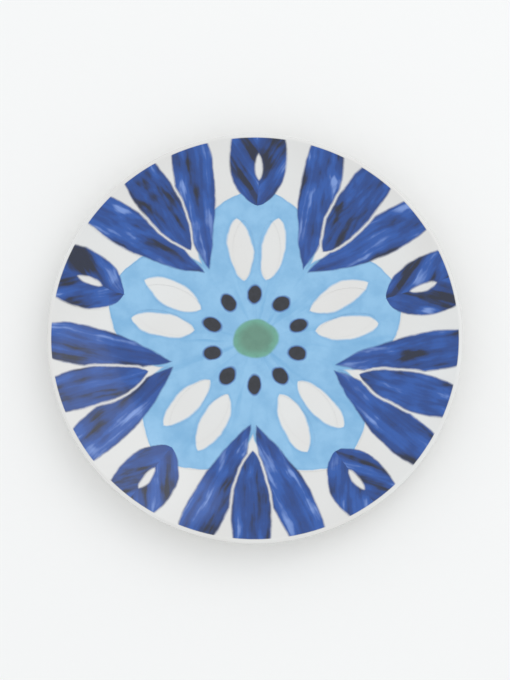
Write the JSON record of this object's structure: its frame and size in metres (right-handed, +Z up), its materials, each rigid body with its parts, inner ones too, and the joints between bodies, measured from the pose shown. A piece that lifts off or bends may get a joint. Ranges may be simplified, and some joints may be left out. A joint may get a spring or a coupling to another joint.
{
  "type": "plate",
  "caption": "Round glazed pottery dinner plate with a shallow rising rim, a foot ring and a blue brush-painted rosette on its face.",
  "frame": {"origin": "middle of the plane that the foot ring stands on", "axes": "+Z up along the plate's axis; X and Y are any two directions across it"},
  "size_m": [0.28, 0.28, 0.026],
  "materials": {
    "clay": "unglazed biscuit",
    "glaze": "glossy white glaze",
    "green_paint": "glossy brushed green",
    "dark_paint": "glossy brushed near-black",
    "pale_blue_paint": "glossy pale blue wash",
    "cobalt_paint": "glossy brushed cobalt"
  },
  "bodies": {
    "root": {"back_glaze_inside_foot": "glaze", "back_glaze_outside_foot": "glaze", "bud_1": "cobalt_paint", "bud_2": "cobalt_paint", "bud_3": "cobalt_paint", "bud_4": "cobalt_paint", "bud_5": "cobalt_paint", "clay_body": "clay", "face_glaze": "glaze", "foot_ring": "clay", "green_centre": "green_paint", "seed_1": "dark_paint", "seed_10": "dark_paint", "seed_2": "dark_paint", "seed_3": "dark_paint", "seed_4": "dark_paint", "seed_5": "dark_paint", "seed_6": "dark_paint", "seed_7": "dark_paint", "seed_8": "dark_paint", "seed_9": "dark_paint", "tulip_1_heart": "cobalt_paint", "tulip_1_left": "cobalt_paint", "tulip_1_right": "cobalt_paint", "tulip_2_heart": "cobalt_paint", "tulip_2_left": "cobalt_paint", "tulip_2_right": "cobalt_paint", "tulip_3_heart": "cobalt_paint", "tulip_3_left": "cobalt_paint", "tulip_3_right": "cobalt_paint", "tulip_4_heart": "cobalt_paint", "tulip_4_left": "cobalt_paint", "tulip_4_right": "cobalt_paint", "tulip_5_heart": "cobalt_paint", "tulip_5_left": "cobalt_paint", "tulip_5_right": "cobalt_paint", "wash_disc": "pale_blue_paint", "wash_petal_1": "pale_blue_paint", "wash_petal_2": "pale_blue_paint", "wash_petal_3": "pale_blue_paint", "wash_petal_4": "pale_blue_paint", "wash_petal_5": "pale_blue_paint"}
  },
  "joints": []
}
